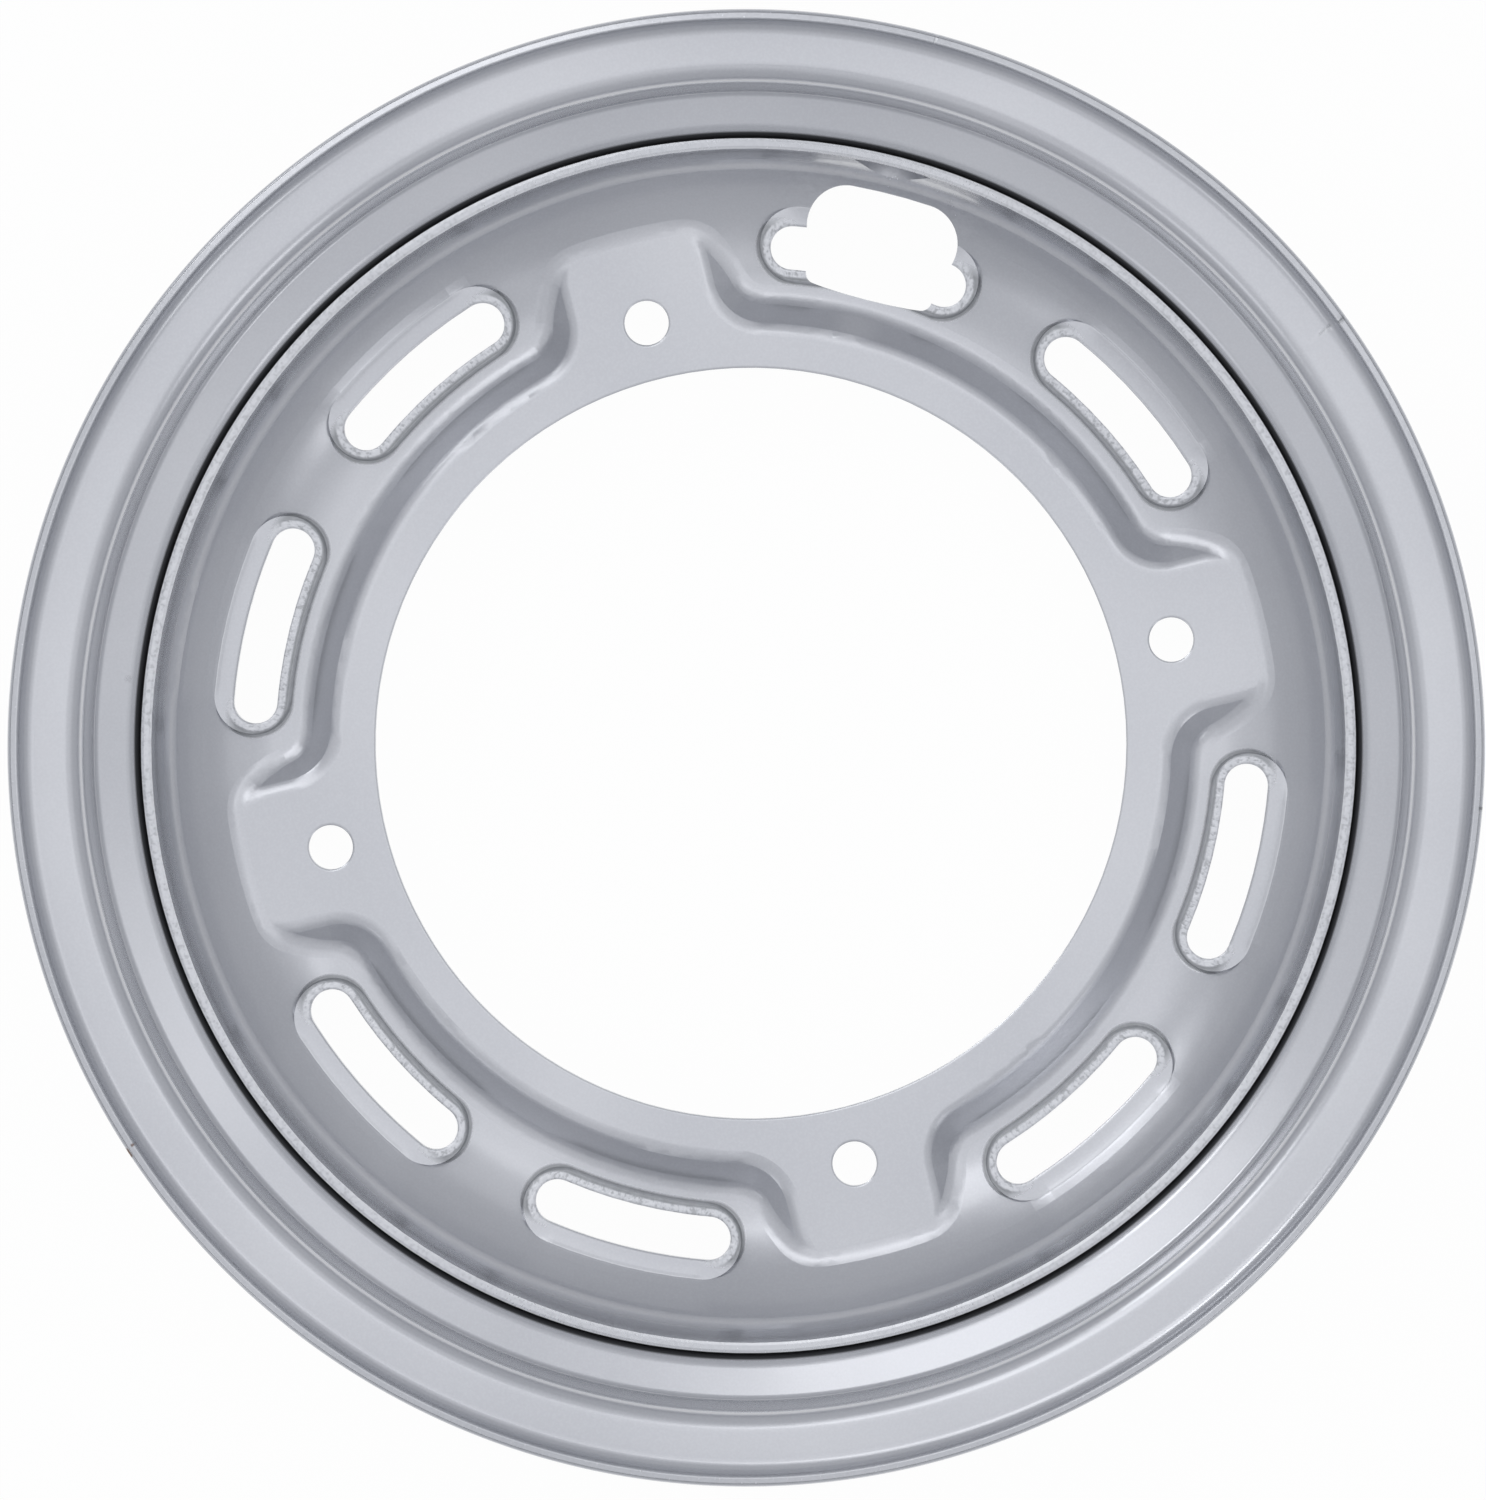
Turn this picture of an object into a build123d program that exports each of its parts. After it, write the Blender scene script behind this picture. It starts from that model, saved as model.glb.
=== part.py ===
from build123d import *

import os
from math import atan2, cos, radians, sin, sqrt, tan

# Scooter wheel for a 10 inch tyre: a rolled drop-centre rim with a pressed disc welded into its well.
# The wheel lies flat. Its axis is Z, its outer face looks up, and the origin is at the rim's mid-plane.

# Rim, measured on the tyre side of the sheet
bead_seat_diameter = 253.2
rim_width = 54.6
flange_height = 11.6
lip_width = 9.2
rim_sheet = 1.8
seat_width = 13.5
seat_taper = 5.0
well_slope = 17.0
curl_radius = 4.6
heel_radius = 2.6
well_edge_radius = 3.5
well_corner_radius = 2.2
lip_outer_round = 0.8
lip_inner_round = 0.3

# Disc: a press fit, so its outside diameter is also the inside diameter of the rim's well
disc_diameter = 230.0
disc_sheet = 2.0
disc_edge_height = 12.0
bend_radius = 11.0
bowl_radius = 36.5
bowl_side_angle = 45.0
bowl_floor_angle = 7.0
bowl_side_straight = 0.4

# Bolt flange: a raised ring with one lobe for each bolt. It sets how deep the bowl is pressed
bore_diameter = 144.0
flange_front = -15.0
flange_rise = 2.0
ring_diameter = 159.0
lobe_width = 26.6
lobe_wall_gap = 9.0
lobe_root_radius = 11.0
lobe_root_share = 0.85
lobe_corner_radius = 11.0
flank_angle = 30.0
crest_radius = 5.0
crest_least_radius = 3.0
foot_radius = 6.0
foot_back_radius = 1.5
bolt_count = 4
bolt_circle_diameter = 166.0
bolt_hole_diameter = 8.5
first_bolt_angle = 13.9

# Slots: two between each pair of lobes, each with a collar drawn towards the outer face
slot_wall_gap = 17.75
slot_width = 8.3
slot_end_angle = 9.05
collar_end_angle = 8.5
slot_spread_angle = 17.25
collar_inner_wall = 2.0
collar_outer_wall = 3.8
collar_rise = 1.5
collar_draft = 6.0
collar_depth = 7.0

# Valve: one slot is punched out wider so that the valve can be reached
valve_angle = 76.05
valve_height = 1.5
valve_hole_diameter = 11.5
valve_clearance_diameter = 14.7
access_angle = 75.5
access_wall_gap = 4.6
access_length = 19.9
access_inner_half_width = 12.0
access_outer_half_width = 16.4
access_inner_bulge = 0.6
access_outer_bulge = 1.2
access_inner_corner = 2.0
access_outer_corner = 7.5

# The disc's solid is kept as a plate and two rings that meet face to face, as it is cut level just
# above the collars and again where the bend starts
ring_cut_rise = 1.2

# Stitch welds at the back, in the notch between the disc's bend and the well
weld_count = 8
weld_half_angle = 6.0
weld_throat_radius = 4.2
weld_inset = 1.4
weld_drop = 6.6

# Space left around the sheet in the blocks that it is cut from, and inside the bore
block_margin = 15.0
bore_margin = 7.5

well_air_radius = disc_diameter / 2
front_wall_radius = well_air_radius - disc_sheet
lip_height = rim_width / 2 + lip_width
bore_side = bore_diameter / 2 - bore_margin
wall_side = well_air_radius + block_margin
side = radians(bowl_side_angle)
floor = radians(bowl_floor_angle)
bend_tangent = bend_radius * tan((radians(90) - side) / 2)
bowl_tangent = bowl_radius * tan((side - floor) / 2)
side_length = bend_tangent + bowl_side_straight + bowl_tangent
turn_radius = front_wall_radius - side_length * cos(side)
turn_height = flange_front - flange_rise
turn_direction = (side + floor) / 2
bend_height = turn_height + side_length * sin(side)
flank_height = flange_rise + (turn_radius - ring_diameter / 2) * tan(floor)
below = flange_front - block_margin - flank_height


def bowl_height(radius):
    """Height of the disc's front surface where the bowl's large arc passes this radius."""
    reach = bowl_radius / cos((side - floor) / 2)
    centre_radius = turn_radius - reach * sin(turn_direction)
    centre_height = turn_height + reach * cos(turn_direction)
    return centre_height - sqrt(bowl_radius**2 - (radius - centre_radius) ** 2)


def pressed_section(depth):
    """Everything below the bowl's surface, at this depth under its front, as half a section."""
    turn_shift = depth / cos((side - floor) / 2)
    turn = (turn_radius + turn_shift * sin(turn_direction), turn_height - turn_shift * cos(turn_direction))
    edge = (front_wall_radius + depth, disc_edge_height + 3 * depth)
    bend = (front_wall_radius + depth, bend_height - depth * tan((radians(90) - side) / 2))
    inner = (bore_side, turn[1] - (turn[0] - bore_side) * tan(floor))
    outer_corner = (wall_side + depth, edge[1])
    lower_outer = (wall_side + depth, below - depth)
    lower_inner = (bore_side, below - depth)
    with BuildSketch(mode=Mode.PRIVATE) as section:
        with BuildLine():
            FilletPolyline(edge, bend, turn, inner, radius=[bend_radius + depth, bowl_radius + depth])
            Polyline(inner, lower_inner, lower_outer, outer_corner, edge)
        make_face()
    return section.sketch


def plateau(depth):
    """The raised ring and its lobes, from a plane at this depth under the bolt flange's front."""
    lobe_reach = front_wall_radius - lobe_wall_gap
    lobe_length = lobe_reach - ring_diameter / 2
    root_radius = min(lobe_root_radius, lobe_root_share * lobe_length)
    corner_radius = min(lobe_corner_radius, lobe_length - root_radius)
    with BuildPart() as raised:
        with BuildSketch(Plane.XY.offset(flange_front - depth)) as outline:
            Circle(ring_diameter / 2)
            with PolarLocations(0, bolt_count, start_angle=first_bolt_angle):
                Rectangle(lobe_reach, lobe_width, align=(Align.MIN, Align.CENTER))
            roots = outline.vertices().filter_by(lambda v: Vector(v).length < lobe_reach)
            fillet(roots, radius=root_radius)
            ends = outline.vertices().filter_by(lambda v: Vector(v).length > lobe_reach)
            fillet(ends, radius=corner_radius)
            if depth:
                offset(amount=-depth * tan(radians(flank_angle) / 2))
        extrude(amount=-flank_height, taper=flank_angle - 90)
        top = raised.faces().sort_by(Axis.Z)[-1]
        fillet(top.edges(), radius=max(crest_radius - depth, crest_least_radius))
        # The flanks end just under the bowl, so a core carries the ring down into the block
        with BuildSketch(Plane.XY.offset(below)):
            Circle(ring_diameter / 2 + flange_rise)
        extrude(amount=block_margin)
    return raised.part


def pressed_form(depth, foot):
    """A block whose top is the pressed surface, at this depth under the front, bent like this at the foot."""
    middle_of_gap = first_bolt_angle + 180 / bolt_count
    with BuildPart() as form:
        with BuildSketch(Plane.XZ.rotated((0, 0, middle_of_gap))):
            add(pressed_section(depth))
        revolve(axis=Axis.Z)
        add(plateau(depth))
        fillet(form.edges(Select.NEW), radius=foot)
    return form.part


def slot_places():
    """One place for each slot: each gap between two lobes holds two."""
    places = []
    for gap in range(bolt_count):
        middle = first_bolt_angle + (gap + 0.5) * 360 / bolt_count
        places.append(Location((0, 0, 0), (0, 0, middle - slot_spread_angle)))
        places.append(Location((0, 0, 0), (0, 0, middle + slot_spread_angle)))
    return places


def curved_slot(radius, width, end_angle):
    with BuildSketch(mode=Mode.PRIVATE) as outline:
        with BuildLine():
            middle_line = CenterArc((0, 0), radius, -end_angle, 2 * end_angle)
        SlotArc(middle_line, height=width)
    return outline.sketch


slot_circle_radius = front_wall_radius - slot_wall_gap
collar_inner = slot_circle_radius - slot_width / 2 - collar_inner_wall
collar_outer = slot_circle_radius + slot_width / 2 + collar_outer_wall
collar_middle = (collar_inner + collar_outer) / 2
collar_width = collar_outer - collar_inner
collar_height = bowl_height(collar_outer) - collar_rise / 2
collar_tilt = atan2(collar_rise, collar_width)
collar_rim_plane = Plane(
    origin=(collar_middle, 0, collar_height),
    z_dir=(-sin(collar_tilt), 0, cos(collar_tilt)),
)


def collar_block(shrink, lowering, keep):
    """The collar around a slot up to its sloping rim, or else the empty space above that rim."""
    with BuildPart() as block:
        with BuildSketch(Plane.XY.offset(collar_height - lowering)) as outline:
            add(curved_slot(collar_middle, collar_width - 2 * shrink, collar_end_angle))
        if keep == Keep.BOTTOM:
            extrude(amount=-collar_depth, taper=-collar_draft)
        extrude(outline.sketch, amount=collar_depth)
        split(bisect_by=collar_rim_plane.offset(-lowering), keep=keep)
    return block.part


def access_outline():
    """The hole punched over the middle of one slot, wider towards the rim."""
    outer = front_wall_radius - access_wall_gap
    inner = outer - access_length
    outer_right = (outer - access_outer_bulge, -access_outer_half_width)
    outer_left = (outer - access_outer_bulge, access_outer_half_width)
    inner_right = (inner, -access_inner_half_width)
    inner_left = (inner, access_inner_half_width)
    with BuildSketch(mode=Mode.PRIVATE) as outline:
        with BuildLine():
            Line(inner_right, outer_right)
            ThreePointArc(outer_right, (outer, 0), outer_left)
            Line(outer_left, inner_left)
            ThreePointArc(inner_left, (inner - access_inner_bulge, 0), inner_right)
        make_face()
        fillet(outline.vertices().sort_by(Axis.X)[:2], radius=access_inner_corner)
        fillet(outline.vertices().sort_by(Axis.X)[-2:], radius=access_outer_corner)
    return outline.sketch.rotate(Axis.Z, access_angle)


def rim_corners():
    """Half of the rim's tyre side, from the lip's edge to the well, as radius and height."""
    seat_radius = bead_seat_diameter / 2
    well_radius = well_air_radius + rim_sheet
    seat_end_height = rim_width / 2 - seat_width
    seat_end_radius = seat_radius - seat_width * tan(radians(seat_taper))
    well_end_height = seat_end_height - (seat_end_radius - well_radius) * tan(radians(well_slope))
    return [
        (seat_radius + flange_height, lip_height),
        (seat_radius + flange_height, rim_width / 2),
        (seat_radius, rim_width / 2),
        (seat_end_radius, seat_end_height),
        (well_radius, well_end_height),
    ]


valve_plane = Plane(
    origin=(0, 0, valve_height),
    x_dir=(0, 0, 1),
    z_dir=(cos(radians(valve_angle)), sin(radians(valve_angle)), 0),
)

with BuildPart() as rim:
    with BuildSketch(Plane.XZ) as rim_section:
        with BuildLine():
            outer_half = rim_corners()
            inner_half = [(radius, -height) for radius, height in reversed(outer_half)]
            half_radii = [curl_radius, heel_radius, well_edge_radius, well_corner_radius]
            FilletPolyline(*outer_half, *inner_half, radius=half_radii + half_radii[::-1])
            offset(amount=rim_sheet, side=Side.RIGHT)
        make_face()
        lip_ends = rim_section.vertices().filter_by(lambda v: abs(v.Y) > lip_height - lip_inner_round)
        fillet(lip_ends.sort_by(Axis.X)[:2], radius=lip_inner_round)
        lip_ends = rim_section.vertices().filter_by(lambda v: abs(v.Y) > lip_height - lip_inner_round / 2)
        fillet(lip_ends.sort_by(Axis.X)[-2:], radius=lip_outer_round)
    revolve(axis=Axis.Z)
    with BuildSketch(valve_plane):
        Circle(valve_hole_diameter / 2)
    extrude(amount=wall_side, mode=Mode.SUBTRACT)
rim.part.label = "rim"

with BuildPart() as disc:
    add(pressed_form(0, foot_radius))
    with Locations(*slot_places()):
        add(collar_block(0, 0, Keep.BOTTOM))
        add(collar_block(0, 0, Keep.TOP), mode=Mode.SUBTRACT)
    add(pressed_form(disc_sheet, foot_back_radius), mode=Mode.SUBTRACT)
    with Locations(*slot_places()):
        add(collar_block(collar_inner_wall, disc_sheet, Keep.BOTTOM), mode=Mode.SUBTRACT)
    with BuildSketch(Plane.XY.offset(below)):
        Circle(bore_diameter / 2)
        with PolarLocations(bolt_circle_diameter / 2, bolt_count, start_angle=first_bolt_angle):
            Circle(bolt_hole_diameter / 2)
        with Locations(*slot_places()):
            add(curved_slot(slot_circle_radius, slot_width, slot_end_angle))
        add(access_outline())
    extrude(amount=disc_edge_height - below, mode=Mode.SUBTRACT)
    with BuildSketch(valve_plane.offset(front_wall_radius - bend_radius)):
        Circle(valve_clearance_diameter / 2)
    extrude(amount=bend_radius + block_margin, mode=Mode.SUBTRACT)
    split(bisect_by=Plane.XY.offset(bowl_height(collar_outer) + ring_cut_rise), keep=Keep.BOTH)
    split(bisect_by=Plane.XY.offset(bend_height + bend_tangent), keep=Keep.BOTH)
disc.part.label = "disc"

with BuildPart() as weld_beads:
    with BuildSketch(Plane.XZ) as weld_section:
        with Locations((well_air_radius - weld_inset, bend_height + bend_tangent - weld_drop)):
            Circle(weld_throat_radius)
        add(pressed_section(disc_sheet), mode=Mode.INTERSECT)
        with Locations((well_air_radius, bend_height)):
            Rectangle(block_margin, 2 * block_margin, align=(Align.MIN, Align.CENTER), mode=Mode.SUBTRACT)
    first_weld_angle = first_bolt_angle - weld_half_angle
    for place in PolarLocations(0, weld_count, start_angle=first_weld_angle):
        revolve(place * weld_section.sketch, axis=Axis.Z, revolution_arc=2 * weld_half_angle)
weld_beads.part.label = "weld_beads"

os.makedirs("parts", exist_ok=True)
for piece in (rim, disc, weld_beads):
    export_step(piece.part, f"parts/{piece.part.label}.step")
    print(piece.part.label, len(piece.part.solids()), "solids", round(piece.part.volume), "mm3")
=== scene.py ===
import math

import bmesh
import bpy
from mathutils import Matrix, Vector


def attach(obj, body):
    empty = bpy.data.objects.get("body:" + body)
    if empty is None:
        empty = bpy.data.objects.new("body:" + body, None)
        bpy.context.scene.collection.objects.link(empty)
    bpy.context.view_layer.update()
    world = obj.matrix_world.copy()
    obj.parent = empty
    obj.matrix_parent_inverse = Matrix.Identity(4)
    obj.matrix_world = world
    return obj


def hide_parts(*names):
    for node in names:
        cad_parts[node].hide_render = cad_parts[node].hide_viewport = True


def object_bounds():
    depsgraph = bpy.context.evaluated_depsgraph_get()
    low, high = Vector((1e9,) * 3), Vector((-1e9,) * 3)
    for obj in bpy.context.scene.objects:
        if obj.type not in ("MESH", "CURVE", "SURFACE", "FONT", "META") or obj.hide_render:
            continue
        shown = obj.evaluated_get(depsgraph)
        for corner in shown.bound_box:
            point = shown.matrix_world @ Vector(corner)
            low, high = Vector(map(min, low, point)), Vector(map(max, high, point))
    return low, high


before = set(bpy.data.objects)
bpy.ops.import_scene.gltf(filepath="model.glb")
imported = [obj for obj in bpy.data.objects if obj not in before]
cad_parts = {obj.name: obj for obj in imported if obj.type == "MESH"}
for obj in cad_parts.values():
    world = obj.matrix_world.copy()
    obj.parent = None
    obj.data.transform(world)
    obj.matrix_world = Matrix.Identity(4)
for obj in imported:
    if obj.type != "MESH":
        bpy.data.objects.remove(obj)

mm = 0.001
degrees = 180 / math.pi       # in one radian
cadLow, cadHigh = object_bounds()
print("frame loaded:", ", ".join(sorted(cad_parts)))


class Wire:
    # an output in a node tree: an expression on it adds its Math nodes
    def __init__(self, bench, socket):
        self.bench = bench
        self.socket = socket

    def __add__(self, other):
        return self.bench.maths("ADD", self, other)

    def __radd__(self, other):
        return self.bench.maths("ADD", other, self)

    def __sub__(self, other):
        return self.bench.maths("SUBTRACT", self, other)

    def __rsub__(self, other):
        return self.bench.maths("SUBTRACT", other, self)

    def __mul__(self, other):
        return self.bench.maths("MULTIPLY", self, other)

    def __rmul__(self, other):
        return self.bench.maths("MULTIPLY", other, self)

    def __truediv__(self, other):
        return self.bench.maths("DIVIDE", self, other)

    def __abs__(self):
        return self.bench.maths("ABSOLUTE", self)

    def least(self, other):
        return self.bench.maths("MINIMUM", self, other)

    def most(self, other):
        return self.bench.maths("MAXIMUM", self, other)

    def sine(self):
        return self.bench.maths("SINE", self)

    def cosine(self):
        return self.bench.maths("COSINE", self)

    def length(self, other):
        return self.bench.maths("SQRT", self * self + other * other)

    def ramp(self, start, end):
        # 0 at start, 1 at end
        slope = 1 / (end - start)
        settings = {"operation": "MULTIPLY_ADD", "use_clamp": True}
        return self.bench.add("Math", settings, {0: self, 1: slope, 2: -start * slope})

    def between(self, low, high, blur):
        # 1 inside the range, fading to 0 over blur outside it
        return self.ramp(low - blur, low) * self.ramp(high + blur, high)

    def folded(self, middle, step):
        # an angle in degrees, seen from the nearest of several middles
        return self.bench.maths("FLOORED_MODULO", self - (middle - step / 2), step) - step / 2


class Bench:
    # a node tree with one way to add any node
    def __init__(self, tree):
        self.tree = tree
        self.nodes = tree.nodes
        self.nodes.clear()

    def add(self, kind, settings=None, sockets=None, out=0):
        node = self.nodes.new("ShaderNode" + kind)
        for key, value in (settings or {}).items():
            setattr(node, key, value)
        for key, value in (sockets or {}).items():
            if isinstance(value, Wire):
                self.tree.links.new(value.socket, node.inputs[key])
            else:
                node.inputs[key].default_value = value
        return Wire(self, node.outputs[out]) if node.outputs else None

    def also(self, wire, out):
        return Wire(self, wire.socket.node.outputs[out])

    def maths(self, operation, *values):
        return self.add("Math", {"operation": operation}, dict(enumerate(values)))

    def mix(self, factor, a, b):
        return self.add("Mix", {"data_type": "RGBA"}, {0: factor, 6: a, 7: b}, 2)

    def noise(self, vector, scale, detail=2.0, rough=0.5):
        sockets = {"Vector": vector, "Scale": scale, "Detail": detail, "Roughness": rough}
        return self.add("TexNoise", {}, sockets)

    def vector(self, x, y, z):
        return self.add("CombineXYZ", {}, {"X": x, "Y": y, "Z": z})


def newMaterial(name):
    material = bpy.data.materials.new(name)
    material.use_nodes = True
    return material, Bench(material.node_tree)


def grey(value, blue=0.0):
    return (value * (1 - blue), value, value * (1 + blue), 1.0)


paint = {
    "colour": (0.630, 0.640, 0.672, 1.0),
    "shade": (0.575, 0.586, 0.620, 1.0),
    "sparkle": (0.80, 0.81, 0.84, 1.0),
    "metallic": 0.70,
    "roughness": 0.25,
    "coat": 0.5,
    "coatRoughness": 0.10,
    "cloudSize": 55.0,          # mm, as the sizes below
    "flakeSize": 0.45,
    "peelSize": 2.6,
    "waveSize": 16.0,
    "peelHeight": 0.008,        # mm, as the heights below
    "waveHeight": 0.10,
    "tornHeight": 0.14,
    "lightFlakes": 0.10,        # shares of a colour that is mixed in
    "darkFlakes": 0.05,
    "tornLight": 0.55,
    "tornDark": 0.45,
    "scuffAndHighlightShare": 0.6,
    "flakeRough": 0.04,         # added to the roughness, as the ones below
    "tornRough": 0.10,
    "dustRough": 0.15,
    "creaseShadeAndDirtRough": 0.35,
    "darkFlake": grey(0.42, 0.03),
    "tornShadow": grey(0.30, 0.03),
    "dust": grey(0.21, 0.05),
    "creaseShadeAndDirt": (0.030, 0.031, 0.035, 1.0),
    "steelAndHighlightColour": (0.74, 0.75, 0.77, 1.0),
    "rust": (0.16, 0.085, 0.055, 1.0),
}


def silverPaint(name, details):
    # details(bench, place, radius, turn, z) gives masks by name; lengths in mm, turn in degrees
    material, bench = newMaterial(name)
    place = bench.add("TexCoord", out=3)
    x = bench.add("SeparateXYZ", {}, {"Vector": place})
    y = bench.also(x, 1)
    z = bench.also(x, 2) / mm
    radius = x.length(y) / mm
    turn = bench.maths("ARCTAN2", y, x) * degrees
    cloud = bench.noise(place, 1 / mm / paint["cloudSize"], 1.0, 0.55)
    flake = bench.noise(place, 1 / mm / paint["flakeSize"], 0.0)
    peel = bench.noise(place, 1 / mm / paint["peelSize"], 1.0)
    wave = bench.noise(place, 1 / mm / paint["waveSize"], 0.0)
    grain = bench.noise(bench.vector(turn * 1.2, radius * 0.5, z * 0.7), 2.0, 1.0, 0.65)
    mask = details(bench, place, radius, turn, z)

    tone = bench.mix(cloud.ramp(0.35, 0.65), paint["shade"], paint["colour"])
    tone = bench.mix(flake.ramp(0.45, 0.75) * paint["lightFlakes"], tone, paint["sparkle"])
    tone = bench.mix(flake.ramp(0.46, 0.20) * paint["darkFlakes"], tone, paint["darkFlake"])
    height = peel * paint["peelHeight"] + wave * paint["waveHeight"]
    rough = paint["roughness"] + (flake - 0.5) * paint["flakeRough"]
    metal = paint["metallic"]
    if "torn" in mask:          # sheared edges, painted over
        tone = bench.mix(mask["torn"] * grain.ramp(0.40, 0.62) * paint["tornLight"], tone, paint["sparkle"])
        tone = bench.mix(mask["torn"] * grain.ramp(0.44, 0.33) * paint["tornDark"], tone, paint["tornShadow"])
        height = height + mask["torn"] * grain * paint["tornHeight"]
        rough = rough + mask["torn"] * paint["tornRough"]
    if "scuffAndHighlight" in mask:        # paint rubbed thin on ridges, and painted highlights on bends and rounded edges
        tone = bench.mix(mask["scuffAndHighlight"] * paint["scuffAndHighlightShare"], tone, paint["steelAndHighlightColour"])
    if "shade" in mask:         # painted shade in corners and grooves, with real dust, spots and weld marks
        tone = bench.mix(mask["shade"], tone, paint["dust"])
        rough = rough + mask["shade"] * paint["dustRough"]
    if "chip" in mask:
        tone = bench.mix(mask["chip"], tone, paint["rust"])
    # near-black in the crease where disc and rim meet: painted shade with some dirt; spatter on the welds
    if "creaseShadeAndDirt" in mask:
        tone = bench.mix(mask["creaseShadeAndDirt"], tone, paint["creaseShadeAndDirt"])
        rough = rough + mask["creaseShadeAndDirt"] * paint["creaseShadeAndDirtRough"]
        metal = (1 - mask["creaseShadeAndDirt"]) * paint["metallic"]
    if "height" in mask:        # in mm
        height = height + mask["height"]
    bump = bench.add("Bump", {}, {"Strength": 1.0, "Distance": mm, "Height": height})
    shader = bench.add("BsdfPrincipled", {}, {
        "Base Color": tone,
        "Metallic": metal,
        "Roughness": rough,
        "Normal": bump,
        "Coat Weight": paint["coat"],
        "Coat Roughness": paint["coatRoughness"],
    })
    bench.add("OutputMaterial", {}, {"Surface": shader})
    return material


disc = {
    "firstBolt": 13.9,          # degrees
    "boltRadius": 83.0,         # mm
    "boltHole": 4.25,
    "bore": 72.0,
    "slotRadius": 95.25,
    "slotHalf": 4.15,
    "slotEnd": 9.05,            # degrees from the slot's middle
    "slotSpread": 17.25,        # degrees from the middle of the gap between two lobes
    "collarOuter": 103.2,
    "edgeTop": 12.0,            # mm, height of the pressing's edge
    "edgeInner": 113.0,
    "accessTurn": 75.5,
    "accessInner": 88.3,
    "accessOuter": 108.1,
    "accessHalf": 12.0,         # half of its width at the inner side
    "accessFlare": 0.235,       # mm wider on each side for each mm outward
    "frontFrom": -19.6,         # mm, the front faces lie above it
    "collarLow": -15.6,
    "collarTop": -12.6,
    "tornWidth": 1.45,          # mm from the slot's edge, as the two below
    "grooveFrom": 1.75,
    "grooveTo": 2.5,
    "roundOver": 0.55,          # mm, rounded edge of each punched hole; lighter there as rubbed paint and a painted highlight
}


def slotDistance(radius, turn):
    # mm outward from the edge of the nearest slot, and degrees from its middle
    gap = turn.folded(disc["firstBolt"] + 45, 90)
    along = abs(abs(gap) - disc["slotSpread"])
    reach = (along - disc["slotEnd"]).most(0) * (disc["slotRadius"] / degrees)
    return reach.length(radius - disc["slotRadius"]) - disc["slotHalf"], along


def accessDistance(radius, turn):
    # mm outward from the edge of the access opening
    off = (turn - disc["accessTurn"]) / degrees
    out = radius * off.cosine()
    side = abs(radius * off.sine())
    flank = side - (out - disc["accessInner"]) * disc["accessFlare"] - disc["accessHalf"]
    edge = flank.most(disc["accessInner"] - out).most(out - disc["accessOuter"])
    return edge + (1 - off.cosine()) * 500      # the opposite side of the disc is far away


def discDetails(bench, place, radius, turn, z):
    slot, along = slotDistance(radius, turn)
    access = accessDistance(radius, turn)
    lobe = turn.folded(disc["firstBolt"], 90) / degrees
    bolt = (radius * lobe.cosine() - disc["boltRadius"]).length(radius * lobe.sine()) - disc["boltHole"]
    ragged = bench.noise(place, 1 / mm / 1.3, 1.0, 0.6)

    # the collar around each slot: torn edge, groove behind it, and an outer side that runs into the bowl
    level = z.between(disc["collarLow"], disc["collarTop"], 0.3)
    inner = radius.ramp(98.5, 95.5)
    ends = along.ramp(8.6, 9.3) * radius.ramp(101.0, 99.0)
    near = inner.most(ends)
    torn = slot.ramp(disc["tornWidth"] + 0.45, disc["tornWidth"]) * near * level
    # groove: painted shade along the foot of the collar's inner wall
    groove = slot.between(disc["grooveFrom"], disc["grooveTo"], 0.45) * near * (0.50 + ragged * 0.3)
    # shoulder: a painted highlight on the bend at the collar's outer side, with a small bump
    shoulder = abs(radius - disc["collarOuter"] + 0.2).ramp(0.55, 0.0) * along.ramp(9.6, 8.4)
    shoulder = shoulder * z.ramp(-15.0, -14.4)
    bend = (radius.least(disc["collarOuter"]) - disc["slotRadius"] - disc["slotHalf"]).most(0)
    rolled = bend * bend * radius.ramp(109, 103.4) * along.ramp(10.2, 7.8)

    # the pressing's edge, rougher on its left and right
    lip = z.between(disc["edgeTop"] - 0.12, disc["edgeTop"] + 1, 0.08)
    sides = abs((turn / degrees).cosine())
    # lipRound: a painted highlight on the rounded corners of the pressing's edge
    lipRound = radius.ramp(disc["edgeInner"] + 0.5, disc["edgeInner"]) + radius.ramp(114.4, 115.0)

    hole = slot.least(bolt).least(access).least(radius - disc["bore"])
    # rounded edges of the punched holes: lighter as rubbed paint and a painted highlight
    roundedEdge = hole.ramp(disc["roundOver"], 0.0) * z.ramp(disc["frontFrom"], disc["frontFrom"] + 0.4)
    seam = radius.between(114.93, 116, 0.05) * z.ramp(9.5, 11.3)      # painted shade, with some dirt, in the crease where the disc sits in the rim
    stain = abs(turn - 75).ramp(16, 6) * radius.between(106, 112, 2.0) * ragged.ramp(0.45, 0.7)
    height = rolled * 0.022 + shoulder * 0.03 - roundedEdge * roundedEdge * 0.16
    return {
        "torn": torn.most(lip * (sides * 0.6 + 0.1)),
        "scuffAndHighlight": (shoulder * 0.35).most(roundedEdge * 0.5).most(lipRound * lip * 0.7),
        "shade": groove.most(stain * 0.10),
        "creaseShadeAndDirt": seam * 0.8,
        "height": height - groove * 0.10 - lipRound * lip * 0.14,
    }


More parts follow.
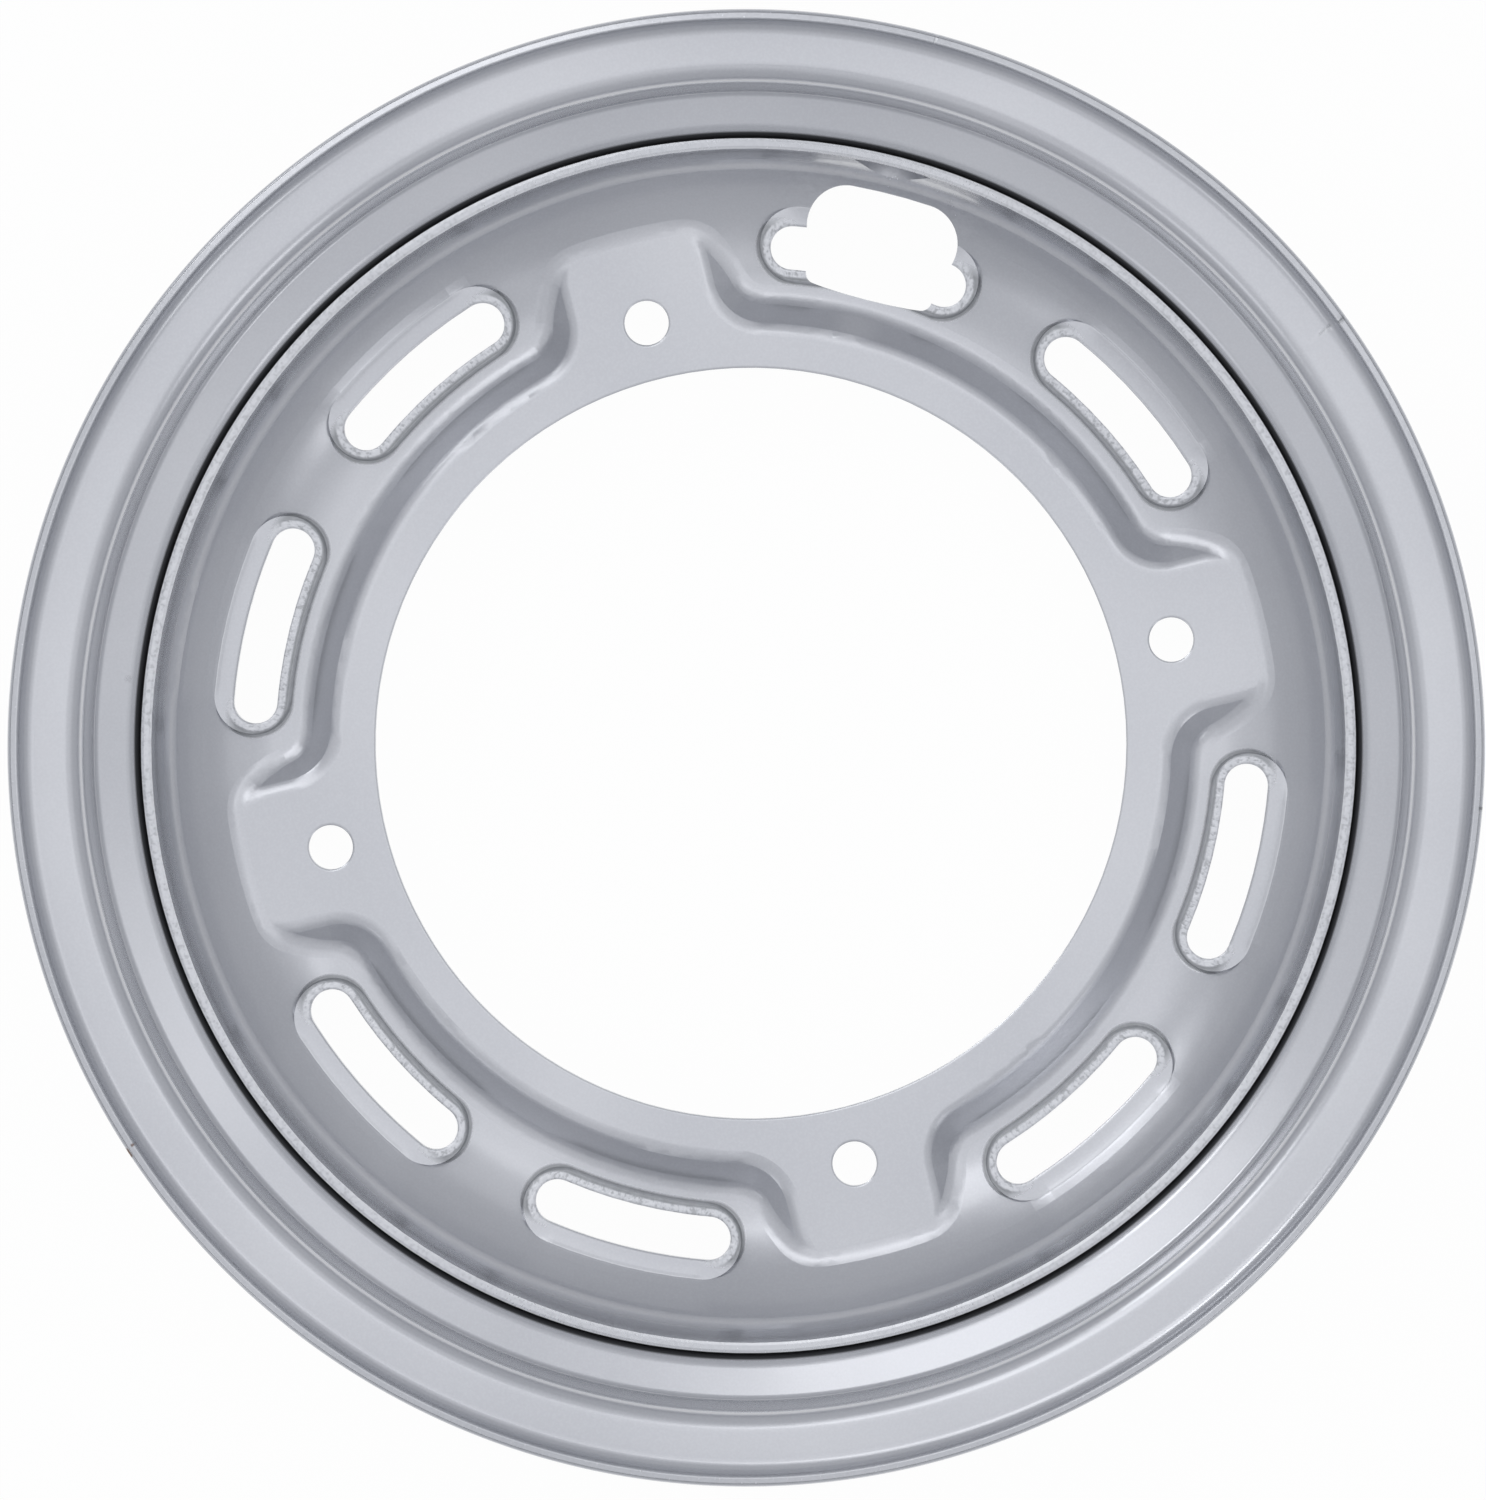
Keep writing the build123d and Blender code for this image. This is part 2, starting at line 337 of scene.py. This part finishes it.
rim = {
    # tyre side of the sheet from the lip's edge to the well: radius, height and bend, in mm
    "corners": [
        (138.16, 36.5, 0.8),
        (138.16, 27.3, 4.6),
        (126.6, 27.3, 2.6),
        (125.419, 13.8, 3.5),
        (116.8, 11.165, 2.2),
    ],
    "sheet": 1.8,
    "lipInnerRound": 0.3,
    "columns": 480,
    "bendStep": 12,             # degrees
    "valveTurn": 76.05,
    "valveHeight": 1.5,
    "valveHole": 5.75,
    "patch": 7.5,               # mm, half of the square that is rebuilt around the valve hole
    "weldTurn": 35.8,
    "chipTurn": 213.3,
    "speckTurn": 212.9,
    "nickTurn": 74.96,
    "darkNickTurn": -4.6,
    "strokesTurn": 73.9,
    "spotTurn": 173.8,
}


def offsetCorner(before, corner, after, distance):
    # the same corner on the sheet's other side
    one = Vector((corner[0] - before[0], corner[1] - before[1])).normalized()
    two = Vector((after[0] - corner[0], after[1] - corner[1])).normalized()
    first, second = Vector((one.y, -one.x)), Vector((two.y, -two.x))
    shift = (first + second) * (distance / (1 + first.dot(second)))
    turnsAway = one.x * two.y - one.y * two.x > 0
    bend = corner[2] + distance if turnsAway else corner[2] - distance
    return (corner[0] + shift.x, corner[1] + shift.y, bend)


def rimOutline():
    upper = rim["corners"]
    tyreSide = upper + [(r, -h, bend) for r, h, bend in reversed(upper)]
    threes = zip(tyreSide, tyreSide[1:], tyreSide[2:])
    airSide = [offsetCorner(before, corner, after, rim["sheet"]) for before, corner, after in threes]
    top = (upper[0][0] - rim["sheet"], upper[0][1], rim["lipInnerRound"])
    return tyreSide + [(top[0], -top[1], top[2])] + airSide[::-1] + [top]


def roundedLoop(corners, step, levels):
    # points of a closed outline with every corner bent, each with its direction out of the sheet
    loop = []
    count = len(corners)
    for i, (r, h, bend) in enumerate(corners):
        here = Vector((r, h))
        one = (here - Vector(corners[i - 1][:2])).normalized()
        two = (Vector(corners[(i + 1) % count][:2]) - here).normalized()
        angle = one.angle_signed(two)
        side = 1 if one.x * two.y - one.y * two.x > 0 else -1
        setback = bend * math.tan(abs(angle) / 2)
        start = here - one * setback
        centre = start + Vector((-one.y, one.x)) * (side * bend)
        steps = max(3, math.ceil(math.degrees(abs(angle)) / step))
        for k in range(steps + 1):
            a = side * abs(angle) * k / steps
            arm = start - centre
            arm = Vector((arm.x * math.cos(a) - arm.y * math.sin(a), arm.x * math.sin(a) + arm.y * math.cos(a)))
            way = Vector((one.x * math.cos(a) - one.y * math.sin(a), one.x * math.sin(a) + one.y * math.cos(a)))
            loop.append((centre + arm, Vector((-way.y, way.x))))
        end = loop[-1][0]
        following = Vector(corners[(i + 1) % count][:2])
        if abs(end.x - following.x) < 1e-4 and end.x < 118 and abs(end.y - following.y) > 15:
            # extra rows in the well, where the valve hole goes
            rows = sorted(levels, reverse=following.y < end.y)
            loop += [(Vector((end.x, row)), loop[-1][1]) for row in rows]
    return loop


def onLevel(point, levels):
    return any(abs(point.y - row) < 1e-6 for row in levels)


def makeRim():
    half, height, hole = rim["patch"], rim["valveHeight"], rim["valveHole"]
    levels = [height + half * share for share in (-1, -0.5, 0, 0.5, 1)]
    loop = roundedLoop(rimOutline(), rim["bendStep"], levels)
    count, columns = len(loop), rim["columns"]
    vertices, outward = [], []
    for i in range(columns):
        a = math.radians(rim["valveTurn"] + i * 360 / columns)
        for point, way in loop:
            vertices.append((point.x * math.cos(a), point.x * math.sin(a), point.y))
            outward.append(Vector((way.x * math.cos(a), way.x * math.sin(a), way.y)))
    reach = math.ceil(math.degrees(half / 115) / (360 / columns))
    rows = [j for j, (point, way) in enumerate(loop) if point.x < 117.5 and onLevel(point, levels)]
    sheets = [rows[:5], rows[5:]]
    cut = {row for sheet in sheets for row in sheet[:-1]}
    faces = []
    for i in range(columns):
        nextColumn = (i + 1) % columns
        inPatch = i < reach or i >= columns - reach
        for j in range(count):
            if inPatch and j in cut:
                continue
            k = (j + 1) % count
            faces.append((i * count + j, i * count + k, nextColumn * count + k, nextColumn * count + j))
    edges = []
    for sheet in sheets:
        across = [i % columns for i in range(-reach, reach + 1)]
        ring = [across[0] * count + row for row in sheet]
        ring += [column * count + sheet[-1] for column in across[1:]]
        ring += [across[-1] * count + row for row in reversed(sheet[:-1])]
        ring += [column * count + sheet[0] for column in reversed(across[1:-1])]
        radius = loop[sheet[0]][0].x
        turned = math.radians(rim["valveTurn"])
        edge = []
        for index in ring:
            x, y, z = vertices[index]
            side = -x * math.sin(turned) + y * math.cos(turned)
            a = math.atan2(z - height, side)
            side, z = hole * math.cos(a), height + hole * math.sin(a)
            depth = math.sqrt(radius * radius - side * side)
            edge.append(len(vertices))
            vertices.append((depth * math.cos(turned) - side * math.sin(turned),
                             depth * math.sin(turned) + side * math.cos(turned), z))
            outward.append(outward[ring[0]])
        for k in range(len(ring)):
            n = (k + 1) % len(ring)
            faces.append((ring[k], edge[k], edge[n], ring[n]))
        edges.append(edge)
    first, second = edges
    paired = [min(second, key=lambda e: (Vector(vertices[e]) - Vector(vertices[f])).length) for f in first]
    for k in range(len(first)):
        n = (k + 1) % len(first)
        faces.append((first[k], paired[k], paired[n], first[n]))
    wallFrom = len(faces) - len(first)

    mesh = bpy.data.meshes.new("rimShell")
    mesh.from_pydata([Vector(v) * mm for v in vertices], [], faces)
    work = bmesh.new()
    work.from_mesh(mesh)
    bmesh.ops.recalc_face_normals(work, faces=work.faces)
    work.to_mesh(mesh)
    work.free()
    normals = []
    for polygon in mesh.polygons:
        polygon.use_smooth = True
        inHole = polygon.index >= wallFrom
        normals += [polygon.normal.copy() if inHole else outward[vertex] for vertex in polygon.vertices]
    mesh.normals_split_custom_set(normals)
    shell = bpy.data.objects.new("rimShell", mesh)
    bpy.context.scene.collection.objects.link(shell)
    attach(shell, "root")
    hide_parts("rim")
    return shell


def mark(turn, middle, width, blur):
    # 1 within a few tenths of a degree of a place on the rim
    return abs(turn - middle).ramp(width + blur, width)


def rimDetails(bench, place, radius, turn, z):
    level = abs(z)
    ragged = bench.noise(place, 1 / mm / 1.6, 1.0, 0.6)
    front = z.ramp(20, 25)
    lip = level.ramp(35.2, 36.0)
    lipEdge = level.ramp(36.30, 36.48) * radius.between(136.5, 137.5, 0.15)
    lipFall = (radius - 136.4).most(0) * lipEdge        # the cut edge leans outward

    # the butt weld of the hoop, ground flush but for a step in the lip
    weld = abs(turn - rim["weldTurn"] + (ragged - 0.5) * 0.10).ramp(0.34, 0.10) * radius.ramp(128, 137)
    step = (turn - rim["weldTurn"]).ramp(-0.06, 0.06) * abs(turn - rim["weldTurn"]).ramp(2.2, 0.2)

    # damage to the lip and the well
    around = turn + 360
    chip = mark(around + (ragged - 0.5) * 0.35, rim["chipTurn"], 0.26, 0.16) * radius.ramp(137.6, 137.9) * front
    speck = mark(around, rim["speckTurn"], 0.05, 0.11) * radius.between(136.4, 136.9, 0.15) * front
    nick = mark(turn, rim["nickTurn"], 0.06, 0.08) * lip * front
    darkNick = mark(turn, rim["darkNickTurn"], 0.08, 0.10) * radius.ramp(137.2, 137.6) * front
    well = z.ramp(10, 11)
    strokes = mark(turn, rim["strokesTurn"], 0.8, 0.8) * radius.between(116.8, 119.0, 0.4) * well
    strokes = strokes * ragged.ramp(0.55, 0.66)
    spot = ((turn - rim["spotTurn"]) * 2.05).length(radius - 117.9).ramp(1.0, 0.3) * well
    # painted shade, with some dirt, in the crease where the disc's edge meets the rim
    seam = radius.between(114.5, 116.2, 0.35) * level.between(9.0, 12.2, 0.4)
    return {
        "torn": lipEdge * 0.12,
        "scuffAndHighlight": (nick * 0.9).most(strokes * 0.4).most(weld * 0.5),
        "shade": (weld * ragged.ramp(0.5, 0.6) * 0.5).most(spot * 0.18).most(darkNick * 0.8),
        "chip": chip.most(speck * 0.8),
        "creaseShadeAndDirt": seam,
        "height": weld * 0.05 + step * lip * 0.20 - chip * 0.25 - nick * 0.1 - lipFall * 0.22,
    }


def weldDetails(bench, place, radius, turn, z):
    ripple = turn * 12.0 + bench.noise(place, 1 / mm / 3.0, 2.0, 0.5) * 5.0
    wavy = ripple.sine() * 0.5 + 0.5
    speckle = bench.noise(place, 1 / mm / 1.2, 3.0, 0.7)
    return {
        # darker in the troughs of the ripples: painted shade
        "shade": wavy.ramp(0.6, 0.0) * 0.35,
        "creaseShadeAndDirt": speckle.ramp(0.58, 0.70) * 0.5,
        "height": wavy * 0.35 + speckle * 0.15,
    }


def dressWheel():
    shell = makeRim()
    finishes = [
        (shell, silverPaint("rimPaint", rimDetails)),
        (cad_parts["disc"], silverPaint("discPaint", discDetails)),
        (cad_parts["weld_beads"], silverPaint("weldPaint", weldDetails)),
    ]
    for piece, material in finishes:
        piece.data.materials.clear()
        piece.data.materials.append(material)
    print("rim mesh faces:", len(shell.data.polygons))
    print("finishes made:", len(finishes))


studio = {
    "floorSize": 6.0,
    "whiteShare": 0.97,         # of the floor's light that the camera sees as plain white
    "worldLevel": 0.53,
    "worldColour": (0.93, 0.95, 1.0, 1.0),
    "cameraDistance": 2.0,
    "cameraTilt": 1.67,         # degrees from the wheel's axis
    "cameraTurn": 44.0,         # degrees from +X towards +Y
    "frameWidth": 277.7,        # mm at the height of the upper lip
    "aim": (-0.383, -0.200, 36.5),
}


def makeFloor():
    material, bench = newMaterial("paleFloor")
    path = bench.add("LightPath")
    seen = bench.also(path, "Is Camera Ray").most(bench.also(path, "Is Glossy Ray"))
    seen = seen.most(bench.also(path, "Is Transmission Ray"))
    mottle = bench.noise(bench.add("TexCoord", out=3), 9.0, 2.0, 0.5)
    matt = bench.add("BsdfDiffuse", {}, {"Color": bench.mix(mottle, grey(0.86), grey(0.90))})
    glow = bench.add("Emission", {}, {"Color": grey(1.0), "Strength": 1.0})
    blend = bench.add("MixShader", {}, {0: seen * studio["whiteShare"], 1: matt, 2: glow})
    bench.add("OutputMaterial", {}, {"Surface": blend})
    half, level = studio["floorSize"] / 2, cadLow.z - 0.0002
    mesh = bpy.data.meshes.new("floor")
    corners = [(-half, -half), (half, -half), (half, half), (-half, half)]
    mesh.from_pydata([(x, y, level) for x, y in corners], [], [(0, 1, 2, 3)])
    mesh.materials.append(material)
    floor = bpy.data.objects.new("floor", mesh)
    bpy.context.scene.collection.objects.link(floor)


lamps = [
    # name, degrees from +X, degrees off the axis, distance and side in metres, watts
    ("front", 70, 5, 2.7, 2.1, 7.1),
    ("topLeft", 120, 32, 1.9, 0.75, 1.9),
    ("ringRight", 0, 34, 1.9, 1.1, 1.0),
    ("ringTop", 60, 34, 1.9, 1.1, 0.9),
    ("ringLeft", 180, 34, 1.9, 1.1, 0.95),
    ("ringLow", 240, 34, 1.9, 1.1, 0.8),
    ("ringLowRight", 300, 34, 1.9, 1.1, 0.8),
    ("highLeft", 135, 52, 1.9, 0.45, 1.8),
    ("lowRight", 315, 52, 1.9, 0.45, 0.8),
    ("lowLeft", 225, 52, 1.9, 0.45, 0.5),
]


def direction(turn, tilt):
    t, a = math.radians(tilt), math.radians(turn)
    return Vector((math.sin(t) * math.cos(a), math.sin(t) * math.sin(a), math.cos(t)))


def makeLamps():
    for name, turn, tilt, distance, side, watts in lamps:
        data = bpy.data.lights.new(name, "AREA")
        data.shape = "SQUARE"
        data.size = side
        data.energy = watts
        lamp = bpy.data.objects.new(name, data)
        lamp.location = direction(turn, tilt) * distance
        lamp.rotation_mode = "QUATERNION"
        lamp.rotation_quaternion = direction(turn, tilt).to_track_quat("Z", "Y")
        bpy.context.scene.collection.objects.link(lamp)
    world = bpy.data.worlds.new("studio")
    world.use_nodes = True
    bench = Bench(world.node_tree)
    light = bench.add("Background", {}, {"Color": studio["worldColour"], "Strength": studio["worldLevel"]})
    bench.add("OutputWorld", {}, {"Surface": light})
    bpy.context.scene.world = world


def makeCamera():
    data = bpy.data.cameras.new("camera")
    data.sensor_fit = "HORIZONTAL"
    data.sensor_width = 36.0
    data.lens = 36.0 * studio["cameraDistance"] / (studio["frameWidth"] * mm)
    data.clip_start, data.clip_end = 0.05, 20.0
    way = direction(studio["cameraTurn"], studio["cameraTilt"])
    right = Vector((0, 1, 0)).cross(way).normalized()       # upright in the picture is the wheel's +Y
    camera = bpy.data.objects.new("camera", data)
    camera.location = Vector(studio["aim"]) * mm + way * studio["cameraDistance"]
    camera.rotation_mode = "QUATERNION"
    camera.rotation_quaternion = Matrix((right, way.cross(right), way)).transposed().to_quaternion()
    bpy.context.scene.collection.objects.link(camera)
    bpy.context.scene.camera = camera


dressWheel()
makeFloor()
makeLamps()
makeCamera()
bpy.context.scene.view_settings.view_transform = "Standard"
print("floor, lamps and camera set")
